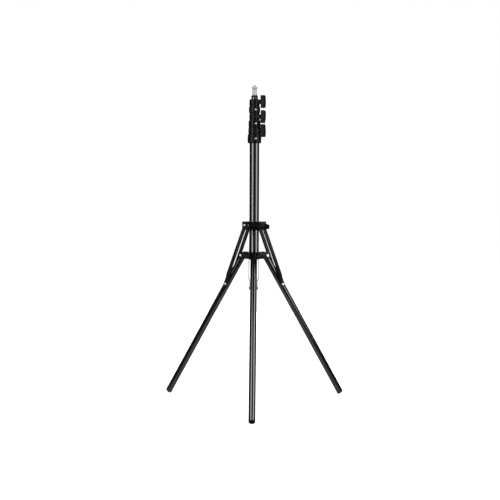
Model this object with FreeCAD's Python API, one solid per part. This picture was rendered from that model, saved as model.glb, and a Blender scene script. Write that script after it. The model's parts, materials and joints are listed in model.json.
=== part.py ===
import FreeCAD, Part
import math
import os

# Folding lighting stand: a four-section telescopic column on three reverse-folding legs.
# Z is up, the floor is Z = 0 and the column stands on the Z axis. Leg 1 points along -Y.
# All sizes are millimetres and degrees. Each repeated piece is built at azimuth 0, with its
# radial direction along +X, and is then turned about Z to its own azimuth.

# ---- tubes
COLUMN_OD = 28.0
TUBE_STEP = 3.0            # each riser's diameter is this much under the tube around it
TUBE_WALL = 1.0
COLUMN_LENGTH = 361.0
TOP_STICKOUT = 7.0         # bare top tube above its clamp
LEG_OD = 19.0
LEG_WALL = 1.2

# ---- legs
LEG_LENGTH = 502.0         # hinge to the tip of the foot, along the leg
LEG_SPREAD = 31.9          # leg angle from vertical, set up
LEG_FOLDED = 180.0         # leg angle from vertical, folded up beside the column
LEG_HEAD = 5.2             # tube beyond the hinge
LEG_AZIMUTHS = (-90.0, 30.0, 150.0)
STRUT_POINT = 101.5        # hinge to the strut's rivet, along the leg
FOOT_CAP = 4.5             # visible end cap of a leg
FOOT_RIM = 2.6             # rounding of the cap's rim
PLUG_DEPTH = 16.0          # how far end plugs reach into their tubes
PLUG_HEAD = 1.5            # head of the plug at a leg's hinge end
PLUG_RIM = 1.2

# ---- base hub, fixed to the column
LEG_STANDOFF = 14.9        # between the column and a leg folded up beside it
HUB_HEIGHT = 20.0
HUB_PIVOT_RISE = 9.3       # hinge above the hub's lower face
HUB_RING_WALL = 4.0
HUB_EAR = 3.0              # ear thickness
HUB_EAR_REACH = 7.6        # ear beyond the hinge
HUB_EAR_ROUND = 6.0
HUB_SCREW_D = 5.0
EAR_BITE = 1.0             # how far the ears of hub and slider are sunk into their rings

# ---- slider, which carries the struts
STRUT_STANDOFF = 9.0       # between the column and the hinge of a strut
SLIDER_REST = 88.8         # strut hinge above the leg hinge, set up
SLIDER_HEIGHT = 25.0
SLIDER_PIVOT_RISE = 14.1   # strut hinge above the slider's lower face
SLIDER_EAR = 2.8
SLIDER_EAR_REACH = 8.0
SLIDER_EAR_ROUND = 1.6
SLIDER_RING_WALL = 2.4
BUSH_WALL = 1.4
SLIDER_BOSS = 1.83         # clamp boss beyond the ears it stands between
POST_R = 3.0               # rounded post where neighbouring ears meet

# ---- struts: pairs of flat straps that splay a little and are joggled in at the foot
STRAP_CLEAR = 2.3          # between a strap and a leg folded up beside it
STRUT_SPLAY = 2.8          # more than that where the joggle begins
STRAP_WIDTH = 11.7
SHEET = 1.2
JOGGLE_LENGTH = 10.0
JOGGLE_ABOVE = 20.0        # end of the joggle, above the foot rivet
SPACER_D = 7.6             # tube round a slider rivet that keeps the straps apart

# ---- clamp collars, from the lowest to the highest
SLEEVE_HEIGHTS = (26.0, 19.6, 19.6)
SLEEVE_WALLS = (5.9, 4.8, 5.4)
CLAMP_WALLS = (5.4, 4.15, 5.65)
CLAMP_HEIGHT = 20.0
CLAMP_RISES = (0.0, 0.0, 3.0)    # clamp screw above the middle of its clamp
COLLAR_CROWN = 1.1         # how far a collar's middle bulges past its edges
BOSS_R = 6.5
BOSS_PROUD = 1.8           # boss beyond the widest clamp
KNOB_AZIMUTH = -30.0
RIVET_AZIMUTH = -79.3

# ---- clamp screws and knobs
SCREW_D = 6.0
INSERT_D = 8.0
PAD_LENGTH = 2.4
KNOB_SPACE = 3.0           # between the wings of neighbouring knobs, standing upright
KNOB_DEPTH = 12.4          # along the screw
KNOB_SAG = 2.6             # how far its outer face falls towards the tips
KNOB_THICK = 13.0
KNOB_ROUND = 2.2
KNOB_NECK_D = 12.0
KNOB_NECK = 2.6            # neck between boss and wings
RIVET_CLEAR = 0.6          # between the slider's boss and the rivet heads beside it
WING_CLEAR = 0.87          # between the slider knob's wings and the ends of the ears
SCREW_IN_KNOB = 9.0
KNOB_TURNS = (4.0, -5.0, 2.0)    # resting turn of the collar knobs, highest collar last
SLIDER_KNOB_TURN = 78.0

# ---- rivets
PIVOT_D = 6.0
PIVOT_HEAD_D = 7.6
PIVOT_HEAD = 1.7
BOLT_HEAD_D = 10.6
BOLT_HEAD = 2.6
NUT_FLATS = 10.0
NUT_HEIGHT = 4.0
STRUT_PIN_D = 5.0
STRUT_HEAD_D = 8.2
STRUT_HEAD = 1.6
COLLAR_RIVET_D = 3.0
COLLAR_RIVET_HEAD_D = 4.8
COLLAR_RIVET_HEAD = 1.0

# ---- spigot on top
SPIGOT_D = 15.875
SPIGOT_LAND = 5.0          # full-diameter land at the foot of the spigot
SPIGOT_WAIST_D = 12.5
SPIGOT_WAIST = 14.9
SPIGOT_HEAD = 5.5
SPIGOT_SHANK = 20.0        # hidden length, inside the top tube
STUD_D = 6.35
STUD_LENGTH = 4.6
SPIGOT_EDGE = 0.5          # chamfers of head, stud and cap
SHANK_SLEEVE = 2.25        # plastic between the spigot's shank and the top tube
CAP_RIM = 4.0
CAP_RIM_INSET = 0.1
SPIGOT_PIN_D = 3.0

# ---- guides inside the tubes
GUIDE_LENGTH = 28.0        # running length of a riser's foot bush
GUIDE_PLUG = 14.0          # part of the bush that is inside its own tube
GUIDE_BORE = 8.0
COLUMN_PLUG = 10.0

# ---- clearances, all radial or end to end
SEAT = 0.02                # pieces that are fixed together
RUNNING = 0.08             # guides in tubes, risers in clamps, slider on column
HINGE = 0.06               # rivets in the pieces that turn on them
REST_GAP = 0.4             # moving pieces that rest face to face
STOP_GAP = 0.7             # left when a riser meets its stop
CHEEK_GAP = 0.4            # each side of a leg or strut between its ears
FORK_GAP = 0.5             # each side of a leg inside its strut's fork
PIN_GAP = 0.3              # split strut rivet to leg, and screws to their pads

# ---- worked out from the sizes above
RISER_ODS = [COLUMN_OD - TUBE_STEP * i for i in (1, 2, 3)]
TUBE_ODS = [COLUMN_OD] + RISER_ODS
LEG_PIVOT_R = COLUMN_OD / 2 + LEG_STANDOFF + LEG_OD / 2
STRUT_WIDTH = LEG_OD + 2 * (STRAP_CLEAR + SHEET)      # over both straps, at the slider
SLIDER_EAR_INNER = STRUT_WIDTH / 2 + CHEEK_GAP
SLIDER_EAR_OUTER = SLIDER_EAR_INNER + SLIDER_EAR
# the slider's clamp stands half-way between two legs: the rivet heads on both sides clear its
# boss, its screw passes the corner where the ears meet, and its wings pass the ears' ends
HALF_GAP = math.radians(60)
RIVET_PASS = BOSS_R + RIVET_CLEAR + (SLIDER_EAR_OUTER + SEAT + PIVOT_HEAD) * math.cos(HALF_GAP)
SLIDER_PIVOT_R = max(COLUMN_OD / 2 + STRUT_STANDOFF,
                     RIVET_PASS / math.sin(HALF_GAP) + PIVOT_HEAD_D / 2)
SLIDER_EAR_END = SLIDER_PIVOT_R + SLIDER_EAR_REACH
SLIDER_CORNER = SLIDER_EAR_OUTER / math.sin(HALF_GAP)
SLIDER_BOSS_FACE = SLIDER_CORNER + KNOB_NECK_D / 2 / math.tan(HALF_GAP) + SLIDER_BOSS
SLIDER_KNOB_NECK = max(KNOB_NECK, WING_CLEAR - SLIDER_BOSS_FACE + SLIDER_EAR_END
                       * math.cos(HALF_GAP) + SLIDER_EAR_OUTER * math.sin(HALF_GAP))
CLAMP_RADII = [od / 2 + wall for od, wall in zip(RISER_ODS, CLAMP_WALLS)]
BOSS_FACE = max(CLAMP_RADII) + BOSS_PROUD             # from the column's axis
KNOB_LENGTH = CLAMP_HEIGHT + min(SLEEVE_HEIGHTS) + REST_GAP - KNOB_SPACE    # tip to tip
FOOT_R = LEG_OD / 2
SPREAD = math.radians(LEG_SPREAD)
# the rounded rim of the foot is what meets the floor
FOOT_DROP = (FOOT_R - FOOT_RIM) * math.sin(SPREAD) + FOOT_RIM * (1 - math.cos(SPREAD))
LEG_PIVOT_Z = LEG_LENGTH * math.cos(SPREAD) + FOOT_DROP
HUB_Z = LEG_PIVOT_Z - HUB_PIVOT_RISE
COLUMN_TOP = HUB_Z + COLUMN_LENGTH
SLIDER_PIVOT_Z = LEG_PIVOT_Z + SLIDER_REST
SLIDER_Z = SLIDER_PIVOT_Z - SLIDER_PIVOT_RISE
STRUT_FOOT_R = LEG_PIVOT_R + STRUT_POINT * math.sin(SPREAD)
STRUT_FOOT_Z = LEG_PIVOT_Z - STRUT_POINT * math.cos(SPREAD)
STRUT_LENGTH = math.hypot(STRUT_FOOT_R - SLIDER_PIVOT_R, SLIDER_PIVOT_Z - STRUT_FOOT_Z)
STRUT_LEAN = math.degrees(math.asin((STRUT_FOOT_R - SLIDER_PIVOT_R) / STRUT_LENGTH))
STRUT_LEAN_FOLDED = math.degrees(math.asin((LEG_PIVOT_R - SLIDER_PIVOT_R) / STRUT_LENGTH))
SLIDER_TRAVEL = (STRUT_POINT + STRUT_LENGTH * math.cos(math.radians(STRUT_LEAN_FOLDED))
                 - SLIDER_REST)
FORK_INNER = LEG_OD / 2 + FORK_GAP
HUB_EAR_INNER = LEG_OD / 2 + CHEEK_GAP
SLIDER_BORE_R = COLUMN_OD / 2 + RUNNING
SLIDER_BUSH_R = SLIDER_BORE_R + BUSH_WALL
SLIDER_RING_R = SLIDER_BUSH_R + SLIDER_RING_WALL


def vec(x, y, z):
    return FreeCAD.Vector(x, y, z)


def rod(d, length, start, direction):
    return Part.makeCylinder(d / 2, length, start, direction)


def rod_x(d, x0, x1, z=0.0):
    return rod(d, x1 - x0, vec(x0, 0, z), vec(1, 0, 0))


def rod_y(d, y0, y1, x=0.0, z=0.0):
    return rod(d, y1 - y0, vec(x, y0, z), vec(0, 1, 0))


def rod_z(d, z0, z1):
    return rod(d, z1 - z0, vec(0, 0, z0), vec(0, 0, 1))


def ring(outer_d, inner_d, z0, z1):
    return rod_z(outer_d, z0, z1).cut(rod_z(inner_d, z0 - 1, z1 + 1))


def block(x0, x1, y0, y1, z0, z1):
    return Part.makeBox(x1 - x0, y1 - y0, z1 - z0, vec(x0, y0, z0))


def turned(outline):
    """Lathe an outline of (radius, z) points; a three-part entry is an arc's middle and end."""
    edges = []
    here = vec(outline[0][0], 0, outline[0][1])
    for step in outline[1:]:
        if len(step) == 2:
            there = vec(step[0], 0, step[1])
            edges.append(Part.makeLine(here, there))
        else:
            middle = vec(step[0], 0, step[1])
            there = vec(step[2][0], 0, step[2][1])
            edges.append(Part.Arc(here, middle, there).toShape())
        here = there
    edges.append(Part.makeLine(here, vec(outline[0][0], 0, outline[0][1])))
    return Part.Face(Part.Wire(edges)).revolve(vec(0, 0, 0), vec(0, 0, 1), 360)


def rounded_end(r, z0, z1, rim, up=True):
    """A disc from z0 to z1 whose far rim is rounded."""
    far, sign = (z1, 1) if up else (z0, -1)
    near = z0 if up else z1
    bend = rim * (1 - math.sqrt(0.5))
    return turned([(0, near), (r, near), (r, far - sign * rim),
                   (r - bend, far - sign * bend, (r - rim, far)), (0, far)])


def dome(d, height, y, outwards):
    """A domed rivet head that stands on the plane Y = y and points along +Y or -Y."""
    r = d / 2
    flat = r * 0.3
    crown = turned([(0, 0), (r, 0), (r, height * 0.35),
                    (r * 0.78, height * 0.79, (flat, height)), (0, height)])
    crown.rotate(vec(0, 0, 0), vec(1, 0, 0), -90 if outwards > 0 else 90)
    crown.translate(vec(0, y, 0))
    return crown


def fused(shapes):
    body = shapes[0].multiFuse(shapes[1:]) if len(shapes) > 1 else shapes[0]
    return body.removeSplitter()


def at_azimuth(shape, azimuth):
    turned_shape = shape.copy()
    turned_shape.rotate(vec(0, 0, 0), vec(0, 0, 1), azimuth)
    return turned_shape


def hung(shape, lean, r, z):
    """Take a piece that hangs straight down from the origin, lean it outwards, and place it."""
    placed = shape.copy()
    placed.rotate(vec(0, 0, 0), vec(0, 1, 0), -lean)
    placed.translate(vec(r, 0, z))
    return placed


def raised(shape, z):
    placed = shape.copy()
    placed.translate(vec(0, 0, z))
    return placed


def tube_bore(od):
    return od - 2 * TUBE_WALL


# ---------------------------------------------------------------- clamps, screws and knobs
def knob_shape(seat, neck, rest_turn):
    """A T knob on the +X axis: its neck starts at X = seat, its wings stand along Z."""
    wing0 = seat + neck
    wing1 = wing0 + KNOB_DEPTH
    half = KNOB_LENGTH / 2
    tip = wing1 - KNOB_SAG
    face = Part.Face(Part.Wire([
        Part.makeLine(vec(wing0, 0, -half), vec(wing0, 0, half)),
        Part.makeLine(vec(wing0, 0, half), vec(tip, 0, half)),
        Part.Arc(vec(tip, 0, half), vec(wing1, 0, 0), vec(tip, 0, -half)).toShape(),
        Part.makeLine(vec(tip, 0, -half), vec(wing0, 0, -half))]))
    wings = face.extrude(vec(0, KNOB_THICK, 0))
    wings.translate(vec(0, -KNOB_THICK / 2, 0))
    wings = wings.makeFillet(KNOB_ROUND, wings.Edges)
    knob = fused([wings, rod_x(KNOB_NECK_D, seat, wing0 + KNOB_DEPTH / 2)])
    knob = knob.cut(rod_x(SCREW_D + 2 * SEAT, seat - 1, wing0 + SCREW_IN_KNOB))
    knob.rotate(vec(0, 0, 0), vec(1, 0, 0), rest_turn)
    return knob


def clamp_parts(gripped_r, boss_face, neck, rest_turn):
    """Insert, pad, screw and knob of one clamp, along +X at Z = 0."""
    pad0 = gripped_r + PIN_GAP
    pad1 = pad0 + PAD_LENGTH
    screw0 = pad1 + PIN_GAP
    seat = boss_face + REST_GAP
    screw1 = seat + neck + SCREW_IN_KNOB - SEAT
    pad = rod_x(INSERT_D - 2 * HINGE, pad0, pad1)
    bore = rod_x(SCREW_D + 2 * HINGE, pad1, boss_face + 1)
    insert = rod_x(INSERT_D - 2 * SEAT, pad1 + SEAT, boss_face).cut(bore)
    screw = rod_x(SCREW_D, screw0, screw1)
    return insert, pad, screw, knob_shape(seat, neck, rest_turn)


def save_clamp(nodes, name, parts, z):
    for part_name, shape in zip(("insert", "pad", "screw", "knob"), parts):
        nodes[name + "_" + part_name] = at_azimuth(raised(shape, z), KNOB_AZIMUTH)


# ---------------------------------------------------------------- telescopic column
def collar_levels():
    """Lower face, shoulder and upper face of each collar, from the lowest to the highest."""
    levels = []
    shoulder = COLUMN_TOP
    for sleeve in SLEEVE_HEIGHTS:
        if levels:
            shoulder = levels[-1][2] + REST_GAP + sleeve
        levels.append((shoulder - sleeve, shoulder, shoulder + CLAMP_HEIGHT))
    return levels


def riser_levels():
    """Lower face of each riser's foot bush, and the tube's lower end."""
    levels = []
    foot = HUB_Z + COLUMN_PLUG + REST_GAP
    for _ in RISER_ODS:
        levels.append((foot, foot + GUIDE_LENGTH))
        foot += GUIDE_LENGTH + GUIDE_PLUG + REST_GAP
    return levels


def riser_travels():
    """How far each riser draws out before its foot bush meets the collar above it."""
    stops = [level[1] for level in collar_levels()]
    return [stop - level[1] - STOP_GAP for stop, level in zip(stops, riser_levels())]


def screw_level(index, level):
    return (level[1] + level[2]) / 2 + CLAMP_RISES[index]


def collar_body(index, level):
    bottom, shoulder, top = level
    carrier = TUBE_ODS[index]
    gripped = TUBE_ODS[index + 1]
    sleeve_r = carrier / 2 + SLEEVE_WALLS[index]
    clamp_r = CLAMP_RADII[index]
    sleeve_edge = sleeve_r - COLLAR_CROWN
    clamp_edge = clamp_r - COLLAR_CROWN
    outer = turned([(0, bottom), (sleeve_edge, bottom),
                    (sleeve_r, (bottom + shoulder) / 2, (sleeve_edge, shoulder)),
                    (clamp_edge, shoulder),
                    (clamp_r, (shoulder + top) / 2, (clamp_edge, top)), (0, top)])
    screw_z = screw_level(index, level)
    boss = at_azimuth(rod_x(2 * BOSS_R, gripped / 2 + 1, BOSS_FACE, screw_z), KNOB_AZIMUTH)
    body = fused([outer, boss])
    body = body.cut(rod_z(carrier + 2 * SEAT, bottom - 1, shoulder))
    body = body.cut(rod_z(gripped + 2 * RUNNING, shoulder - 1, top + 1))
    body = body.cut(at_azimuth(rod_x(INSERT_D, 0, BOSS_FACE + 1, screw_z), KNOB_AZIMUTH))
    rivet_z = (bottom + shoulder) / 2
    hole = rod_x(COLLAR_RIVET_D + 2 * SEAT, 0, sleeve_r + 1, rivet_z)
    return body.cut(at_azimuth(hole, RIVET_AZIMUTH))


def collar_rivet(index, level):
    bottom, shoulder, _ = level
    face = TUBE_ODS[index] / 2 + SLEEVE_WALLS[index]
    shank = rod_x(COLLAR_RIVET_D, TUBE_ODS[index] / 2 - TUBE_WALL / 2, face + SEAT)
    head = dome(COLLAR_RIVET_HEAD_D, COLLAR_RIVET_HEAD, 0, 1)
    head.rotate(vec(0, 0, 0), vec(0, 0, 1), -90)
    head.translate(vec(face + SEAT, 0, 0))
    return at_azimuth(raised(fused([shank, head]), (bottom + shoulder) / 2), RIVET_AZIMUTH)


def add_collars(nodes):
    for index, level in enumerate(collar_levels()):
        name = "collar_%d" % (3 - index)
        nodes[name + "_body"] = collar_body(index, level)
        nodes[name + "_rivet"] = collar_rivet(index, level)
        parts = clamp_parts(TUBE_ODS[index + 1] / 2, BOSS_FACE, KNOB_NECK, KNOB_TURNS[index])
        save_clamp(nodes, name, parts, screw_level(index, level))


def rivet_hole(index, level):
    z = (level[0] + level[1]) / 2
    return at_azimuth(rod_x(COLLAR_RIVET_D + 2 * SEAT, 0, COLUMN_OD, z), RIVET_AZIMUTH)


def add_tubes(nodes):
    collars = collar_levels()
    column = ring(COLUMN_OD, tube_bore(COLUMN_OD), HUB_Z, COLUMN_TOP)
    nodes["column_tube"] = column.cut(rivet_hole(0, collars[0]))
    plug_r = tube_bore(COLUMN_OD) / 2 - SEAT
    nodes["column_plug"] = rod_z(2 * plug_r, HUB_Z, HUB_Z + COLUMN_PLUG)
    for index, (foot, start) in enumerate(riser_levels()):
        od = RISER_ODS[index]
        last = index == len(RISER_ODS) - 1
        top = collars[index][2] + TOP_STICKOUT if last else collars[index + 1][1]
        tube = ring(od, tube_bore(od), start, top)
        tube = tube.cut(spigot_pin_hole(top)) if last else tube.cut(
            rivet_hole(index + 1, collars[index + 1]))
        guide = rod_z(tube_bore(TUBE_ODS[index]) - 2 * RUNNING, foot, start)
        plug = rod_z(tube_bore(od) - 2 * SEAT, start, start + GUIDE_PLUG)
        bush = fused([guide, plug]).cut(rod_z(GUIDE_BORE, foot - 1, start + GUIDE_PLUG + 1))
        nodes["riser_%d_tube" % (index + 1)] = tube
        nodes["riser_%d_foot" % (index + 1)] = bush


# ---------------------------------------------------------------- spigot
def spigot_pin_z(tube_top):
    return tube_top - PLUG_DEPTH / 2


def spigot_pin_hole(tube_top):
    reach = COLUMN_OD
    return rod_x(SPIGOT_PIN_D + 2 * SEAT, -reach, reach, spigot_pin_z(tube_top))


def add_spigot(nodes):
    top_od = RISER_ODS[-1]
    tube_top = collar_levels()[-1][2] + TOP_STICKOUT
    seat = tube_top + CAP_RIM
    waist = seat + SPIGOT_LAND
    head = waist + SPIGOT_WAIST
    stud = head + SPIGOT_HEAD
    tip = stud + STUD_LENGTH
    land_r = SPIGOT_D / 2
    waist_r = SPIGOT_WAIST_D / 2
    step = land_r - waist_r
    edge = SPIGOT_EDGE
    thread_r = STUD_D / 2
    shank_r = tube_bore(top_od) / 2 - SHANK_SLEEVE
    spigot = turned([(0, seat - SPIGOT_SHANK), (shank_r, seat - SPIGOT_SHANK), (shank_r, seat),
                     (land_r, seat), (land_r, waist - step), (waist_r, waist),
                     (waist_r, head), (land_r, head), (land_r, stud - edge),
                     (land_r - edge, stud), (thread_r, stud), (thread_r, tip - edge),
                     (thread_r - edge, tip), (0, tip)])
    plug_r = tube_bore(top_od) / 2 - SEAT
    rim_r = top_od / 2 - CAP_RIM_INSET
    cap = turned([(0, tube_top - PLUG_DEPTH), (plug_r, tube_top - PLUG_DEPTH),
                  (plug_r, tube_top), (rim_r, tube_top), (rim_r, seat - edge),
                  (rim_r - edge, seat), (0, seat)])
    cap = cap.cut(rod_z(2 * (shank_r + SEAT), tube_top - PLUG_DEPTH - 1, seat + 1))
    hole = spigot_pin_hole(tube_top)
    nodes["spigot"] = spigot.cut(hole)
    nodes["top_cap"] = cap.cut(hole)
    pin_end = top_od / 2 - REST_GAP
    nodes["spigot_pin"] = rod_x(SPIGOT_PIN_D, -pin_end, pin_end, spigot_pin_z(tube_top))


# ---------------------------------------------------------------- hub and slider
def ear_pair(inner, thickness, start, reach, z0, z1, corner):
    ears = []
    for side in (-1, 1):
        y0 = inner if side > 0 else -inner - thickness
        ear = block(start, reach, y0, y0 + thickness, z0, z1)
        outer = [e for e in ear.Edges
                 if abs(e.BoundBox.XMin - reach) < 1e-6 and e.BoundBox.YLength > 1e-6]
        ears.append(ear.makeFillet(corner, outer))
    return ears


def ear_root(ring_r, outer):
    """Where an ear starts, so that its outer face is sunk into the ring."""
    inside = (ring_r - EAR_BITE) ** 2 - outer ** 2
    return math.sqrt(max(inside, EAR_BITE ** 2))


def hub_like(ring_r, ears, z0, z1, post_at):
    """A ring with one pair of ears per leg and a rounded post between neighbouring pairs."""
    post = Part.makeCylinder(POST_R, z1 - z0, vec(post_at, 0, z0))
    shapes = [rod_z(2 * ring_r, z0, z1)]
    for azimuth in LEG_AZIMUTHS:
        shapes += [at_azimuth(ear, azimuth) for ear in ears]
        shapes.append(at_azimuth(post, azimuth + 60))
    return fused(shapes)


def pivot_holes(d, half_length, r, z):
    return [at_azimuth(rod_y(d, -half_length, half_length, r, z), a) for a in LEG_AZIMUTHS]


def add_base_hub(nodes):
    ring_r = COLUMN_OD / 2 + HUB_RING_WALL
    outer = HUB_EAR_INNER + HUB_EAR
    ears = ear_pair(HUB_EAR_INNER, HUB_EAR, ear_root(ring_r, outer),
                    LEG_PIVOT_R + HUB_EAR_REACH, HUB_Z, HUB_Z + HUB_HEIGHT, HUB_EAR_ROUND)
    hub = hub_like(ring_r, ears, HUB_Z, HUB_Z + HUB_HEIGHT, ring_r - POST_R / 2)
    hub = hub.cut(rod_z(COLUMN_OD + 2 * SEAT, HUB_Z - 1, HUB_Z + HUB_HEIGHT + 1))
    hub = hub.cut(pivot_holes(PIVOT_D + 2 * SEAT, outer + 1, LEG_PIVOT_R, LEG_PIVOT_Z))
    screw_z = HUB_Z + HUB_HEIGHT / 2
    back = LEG_AZIMUTHS[1] + 60
    screw_end = ring_r + POST_R / 2
    hole = rod_x(HUB_SCREW_D + 2 * SEAT, COLUMN_OD / 2 - 1, screw_end + 1, screw_z)
    nodes["base_hub"] = hub.cut(at_azimuth(hole, back))
    screw = rod_x(HUB_SCREW_D, COLUMN_OD / 2 + SEAT, screw_end, screw_z)
    nodes["hub_screw"] = at_azimuth(screw, back)
    rivet = fused([rod_y(PIVOT_D, -outer - SEAT, outer + SEAT),
                   dome(PIVOT_HEAD_D, PIVOT_HEAD, outer + SEAT, 1),
                   dome(PIVOT_HEAD_D, PIVOT_HEAD, -outer - SEAT, -1)])
    rivet.translate(vec(LEG_PIVOT_R, 0, LEG_PIVOT_Z))
    nodes["hub_rivets"] = Part.makeCompound(
        [at_azimuth(rivet, LEG_AZIMUTHS[i]) for i in (0, 2)])
    bolt_end = outer + NUT_HEIGHT + 1
    bolt = fused([rod_y(PIVOT_D, -outer - SEAT, bolt_end),
                  dome(BOLT_HEAD_D, BOLT_HEAD, -outer - SEAT, -1)])
    nut = Part.Face(Part.makePolygon(
        [vec(NUT_FLATS / math.sqrt(3) * math.cos(math.radians(60 * i)), outer + SEAT,
             NUT_FLATS / math.sqrt(3) * math.sin(math.radians(60 * i))) for i in range(7)]))
    nut = nut.extrude(vec(0, NUT_HEIGHT, 0))
    nut = nut.cut(rod_y(PIVOT_D + 2 * SEAT, outer - 1, bolt_end + 1))
    for name, shape in (("hub_bolt", bolt), ("hub_nut", nut)):
        shape.translate(vec(LEG_PIVOT_R, 0, LEG_PIVOT_Z))
        nodes[name] = at_azimuth(shape, LEG_AZIMUTHS[1])


def add_slider(nodes):
    outer = SLIDER_EAR_OUTER
    z0, z1 = SLIDER_Z, SLIDER_Z + SLIDER_HEIGHT
    middle = (z0 + z1) / 2
    ears = ear_pair(SLIDER_EAR_INNER, SLIDER_EAR, ear_root(SLIDER_RING_R, outer),
                    SLIDER_EAR_END, z0, z1, SLIDER_EAR_ROUND)
    body = hub_like(SLIDER_RING_R, ears, z0, z1, SLIDER_CORNER - POST_R / 2)
    boss = rod_x(2 * BOSS_R, SLIDER_BUSH_R, SLIDER_BOSS_FACE, middle)
    body = fused([body, at_azimuth(boss, KNOB_AZIMUTH)])
    body = body.cut(rod_z(2 * (SLIDER_BUSH_R + SEAT), z0 - 1, z1 + 1))
    body = body.cut(pivot_holes(STRUT_PIN_D + 2 * SEAT, outer + 1, SLIDER_PIVOT_R,
                                SLIDER_PIVOT_Z))
    port = at_azimuth(rod_x(INSERT_D, 0, SLIDER_BOSS_FACE + 1, middle), KNOB_AZIMUTH)
    nodes["slider_body"] = body.cut(port)
    nodes["slider_bush"] = ring(2 * SLIDER_BUSH_R, 2 * SLIDER_BORE_R, z0, z1).cut(port)
    rivet = fused([rod_y(STRUT_PIN_D, -outer - SEAT, outer + SEAT),
                   dome(PIVOT_HEAD_D, PIVOT_HEAD, outer + SEAT, 1),
                   dome(PIVOT_HEAD_D, PIVOT_HEAD, -outer - SEAT, -1)])
    rivet.translate(vec(SLIDER_PIVOT_R, 0, SLIDER_PIVOT_Z))
    nodes["slider_rivets"] = Part.makeCompound([at_azimuth(rivet, a) for a in LEG_AZIMUTHS])
    reach = STRUT_WIDTH / 2 - SHEET - PIN_GAP
    spacer = rod_y(SPACER_D, -reach, reach).cut(rod_y(STRUT_PIN_D + 2 * SEAT, -outer, outer))
    spacer.translate(vec(SLIDER_PIVOT_R, 0, SLIDER_PIVOT_Z))
    nodes["slider_spacers"] = Part.makeCompound(
        [at_azimuth(spacer, a) for a in LEG_AZIMUTHS])
    parts = clamp_parts(COLUMN_OD / 2, SLIDER_BOSS_FACE, SLIDER_KNOB_NECK, SLIDER_KNOB_TURN)
    save_clamp(nodes, "slider", parts, middle)


# ---------------------------------------------------------------- legs and struts
def leg_parts():
    """One leg, hanging straight down from its hinge at the origin."""
    bore = LEG_OD - 2 * LEG_WALL
    tip = -LEG_LENGTH
    tube = ring(LEG_OD, bore, tip + FOOT_CAP, LEG_HEAD)
    hinge_hole = rod_y(PIVOT_D + 2 * HINGE, -LEG_OD, LEG_OD)
    strut_hole = rod_y(STRUT_PIN_D + 2 * SEAT, -LEG_OD, LEG_OD, 0, -STRUT_POINT)
    tube = tube.cut([hinge_hole, strut_hole])
    plug_d = bore - 2 * SEAT
    head = rounded_end(LEG_OD / 2, LEG_HEAD, LEG_HEAD + PLUG_HEAD, PLUG_RIM)
    plug = fused([rod_z(plug_d, LEG_HEAD - PLUG_DEPTH, LEG_HEAD), head]).cut(hinge_hole)
    foot = fused([rounded_end(FOOT_R, tip, tip + FOOT_CAP, FOOT_RIM, up=False),
                  rod_z(plug_d, tip + FOOT_CAP, tip + FOOT_CAP + PLUG_DEPTH)])
    end = LEG_OD / 2 - PIN_GAP
    pin = rod_y(STRUT_PIN_D, -end, end, 0, -STRUT_POINT)
    return {"tube": tube, "plug": plug, "foot": foot, "strut_pin": pin}


def strap(side):
    """One strap of a strut: it splays outwards, then is joggled in towards the leg."""
    top = STRUT_WIDTH / 2
    wide = top + STRUT_SPLAY / 2
    fork = FORK_INNER + SHEET
    half = STRAP_WIDTH / 2
    end = -(STRUT_LENGTH + half)
    joggle1 = -(STRUT_LENGTH - JOGGLE_ABOVE)
    joggle0 = joggle1 + JOGGLE_LENGTH
    outside = [(top, half), (top, 0), (wide, joggle0), (fork, joggle1), (fork, end)]
    inside = [(y - SHEET, z) for y, z in reversed(outside)]
    profile = [vec(-half, side * y, z) for y, z in outside + inside + outside[:1]]
    strip = Part.Face(Part.makePolygon(profile)).extrude(vec(STRAP_WIDTH, 0, 0))
    outline = fused([block(-half, half, -wide, wide, -STRUT_LENGTH, 0),
                     rod_y(STRAP_WIDTH, -wide, wide),
                     rod_y(STRAP_WIDTH, -wide, wide, 0, -STRUT_LENGTH)])
    holes = [rod_y(STRUT_PIN_D + 2 * HINGE, -STRUT_WIDTH, STRUT_WIDTH),
             rod_y(STRUT_PIN_D + 2 * SEAT, -STRUT_WIDTH, STRUT_WIDTH, 0, -STRUT_LENGTH)]
    return strip.common(outline).cut(holes)


def strut_parts():
    """One strut, hanging straight down from its top rivet at the origin."""
    face = FORK_INNER + SHEET + SEAT
    inner_end = LEG_OD / 2 + PIN_GAP
    halves = []
    for side in (-1, 1):
        y0, y1 = (inner_end, face) if side > 0 else (-face, -inner_end)
        half_rivet = fused([rod_y(STRUT_PIN_D, y0, y1),
                            dome(STRUT_HEAD_D, STRUT_HEAD, side * face, side)])
        half_rivet.translate(vec(0, 0, -STRUT_LENGTH))
        halves.append(half_rivet)
    return {"straps": Part.makeCompound([strap(-1), strap(1)]),
            "rivets": Part.makeCompound(halves)}


def add_legs(nodes):
    leg = {name: hung(shape, LEG_SPREAD, LEG_PIVOT_R, LEG_PIVOT_Z)
           for name, shape in leg_parts().items()}
    strut = {name: hung(shape, STRUT_LEAN, SLIDER_PIVOT_R, SLIDER_PIVOT_Z)
             for name, shape in strut_parts().items()}
    for number, azimuth in enumerate(LEG_AZIMUTHS, 1):
        for name, shape in leg.items():
            nodes["leg_%d_%s" % (number, name)] = at_azimuth(shape, azimuth)
        for name, shape in strut.items():
            nodes["strut_%d_%s" % (number, name)] = at_azimuth(shape, azimuth)


def build():
    nodes = {}
    add_tubes(nodes)
    add_collars(nodes)
    add_spigot(nodes)
    add_base_hub(nodes)
    add_slider(nodes)
    add_legs(nodes)
    return nodes


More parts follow.
